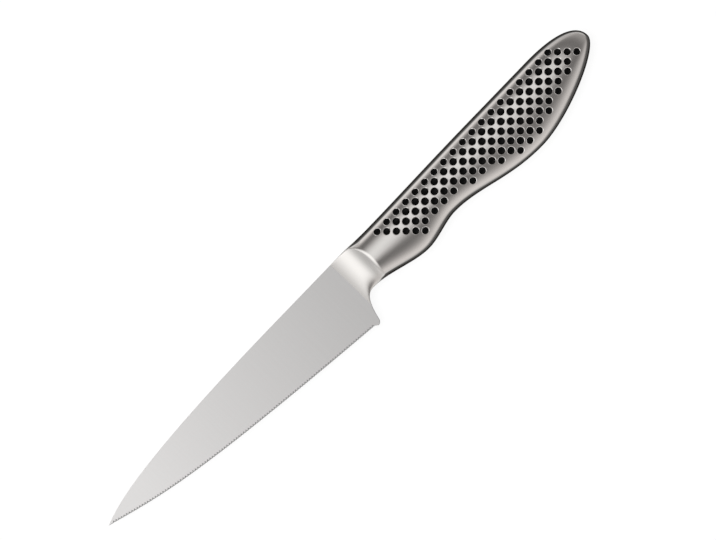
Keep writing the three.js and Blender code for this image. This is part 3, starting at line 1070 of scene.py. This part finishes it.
def floor_finish(sizes):
    """Pale floor: part of its white is a glow that eye, metal and glass all see, and the rest takes shadow"""
    material, tree, shader, place = new_material("floor")
    cloud = add(tree, "ShaderNodeTexNoise", Vector=place, Scale=3.0)
    pale = tinted(tree, sizes.floor, varied(tree, cloud.outputs[0], 0.99, 1.01))
    feed(tree, shader, Base_Color=pale, Roughness=0.9, Specular_IOR_Level=0.1)
    rays = add(tree, "ShaderNodeLightPath").outputs
    seen = math(tree, "MAXIMUM", rays["Is Camera Ray"], rays["Is Glossy Ray"])
    seen = math(tree, "MAXIMUM", seen, rays["Is Transmission Ray"])
    glow = add(tree, "ShaderNodeEmission", Color=WHITE, Strength=1.0)
    amount = math(tree, "MULTIPLY", seen, sizes.glow)
    both = add(tree, "ShaderNodeMixShader", _0=amount, _1=shader.outputs[0], _2=glow.outputs[0])
    feed(tree, tree.nodes["Material Output"], Surface=both.outputs[0])
    return material


def ramp(tree, value, start, end):
    """0 to 1 between two angles in degrees, in either order"""
    return smooth_step(tree, value, radians(start), radians(end))


def light_studio(scene):
    """Soft panels round the knife, drawn by their lean from straight overhead in degrees"""
    world = bpy.data.worlds.new("studio")
    world.use_nodes = True
    tree = world.node_tree
    tree.nodes.clear()
    way = add(tree, "ShaderNodeTexCoord").outputs["Generated"]
    x, y, z = add(tree, "ShaderNodeSeparateXYZ", Vector=way).outputs
    lean_x = math(tree, "ARCTAN2", x, z)
    lean_y = math(tree, "ARCTAN2", y, z)
    bearing = math(tree, "ARCTAN2", y, math(tree, "MULTIPLY", x, -1.0))

    def to_butt(start, end):
        return ramp(tree, lean_x, start, end)

    def to_spine(start, end):
        return ramp(tree, lean_y, start, end)

    # Beside the edge, the overhead panel ends at one lean over the handle, and at one bearing by the tip.
    to_tip = to_butt(-2, -18)
    over_tip = product(tree, ramp(tree, bearing, -55, 5), to_tip)
    over_handle = product(tree, to_spine(-19, 2), math(tree, "SUBTRACT", 1.0, to_tip))
    low_end = math(tree, "ADD", over_tip, over_handle)
    overhead = product(tree, low_end, to_spine(50, 6), to_butt(26, 8))
    before_tip = product(tree, overhead, to_butt(-74, -50))
    panels = (
        # Overhead, brighter toward the tip
        (before_tip, 0.32),
        (product(tree, overhead, to_butt(-98, -84)), 0.56),
        (product(tree, before_tip, to_butt(4, -16)), 0.36),
        (product(tree, before_tip, to_butt(-10, -42)), 0.25),
        # Beside the spine
        (product(tree, to_spine(56, 90), to_butt(100, 20)), 1.12),
        # Beside the edge, along the handle and then past the tip
        (product(tree, to_spine(-22, -74), to_butt(-85, -45), to_butt(100, 20)), 0.77),
        (product(tree, to_spine(-50, -80), to_butt(-45, -85)), 0.55),
        # Beyond the butt
        (to_butt(30, 70), 0.25),
    )
    level = ROOM_LEVEL
    for panel, strength in panels:
        level = math(tree, "MULTIPLY_ADD", panel, strength, level)
    hue = mixed(tree, overhead, WARM, WHITE)
    background = add(tree, "ShaderNodeBackground", Color=hue, Strength=level)
    add(tree, "ShaderNodeOutputWorld", Surface=background.outputs[0])
    scene.world = world


def hang_lamp(scene):
    """A soft lamp that gives the knife its shadow on the floor, and isn't mirrored in the steel"""
    light = bpy.data.lights.new("overhead", "AREA")
    light.shape = "RECTANGLE"
    light.size, light.size_y = LAMP_SIDES
    light.energy = LAMP_WATTS
    lamp = bpy.data.objects.new("overhead", light)
    x, y, z = LAMP_PLACE
    lamp.location = LAMP_PLACE
    lamp.rotation_euler = (-atan(y / z), atan(x / z), 0)
    lamp.visible_glossy = False
    scene.collection.objects.link(lamp)


PIECES = (
    KNIFE_OT_blade,
    KNIFE_OT_neck,
    KNIFE_OT_shells,
    KNIFE_OT_welds,
    KNIFE_OT_enamel,
    KNIFE_OT_sand,
    KNIFE_OT_stage,
)
SIZES = {
    "knife_blade": KnifeBladeSizes,
    "knife_neck": KnifeNeckSizes,
    "knife_handle": KnifeHandleSizes,
    "knife_dimples": KnifeDimpleSizes,
    "knife_finishes": KnifeFinishes,
    "knife_stage": KnifeStageSizes,
}


class KNIFE_PT_pieces(bpy.types.Panel):
    """Lists the knife's pieces and their sizes"""

    bl_idname = "KNIFE_PT_pieces"
    bl_label = "Serrated utility knife"
    bl_space_type = "VIEW_3D"
    bl_region_type = "UI"
    bl_category = "Knife"

    def draw(self, context):
        for operator in PIECES:
            self.layout.operator(operator.bl_idname)
        for group in SIZES:
            box = self.layout.box()
            sizes = getattr(context.scene, group)
            for name in sizes.bl_rna.properties.keys():
                if name not in ("rna_type", "name"):
                    box.prop(sizes, name)


CLASSES = (*SIZES.values(), *PIECES, KNIFE_PT_pieces)


def register():
    for cls in CLASSES:
        bpy.utils.register_class(cls)
    for name, group in SIZES.items():
        setattr(bpy.types.Scene, name, PointerProperty(type=group))


def unregister():
    for name in SIZES:
        delattr(bpy.types.Scene, name)
    for cls in reversed(CLASSES):
        bpy.utils.unregister_class(cls)


def main():
    register()
    for operator in PIECES:
        group, name = operator.bl_idname.split(".")
        getattr(getattr(bpy.ops, group), name)()


if __name__ == "__main__":
    main()
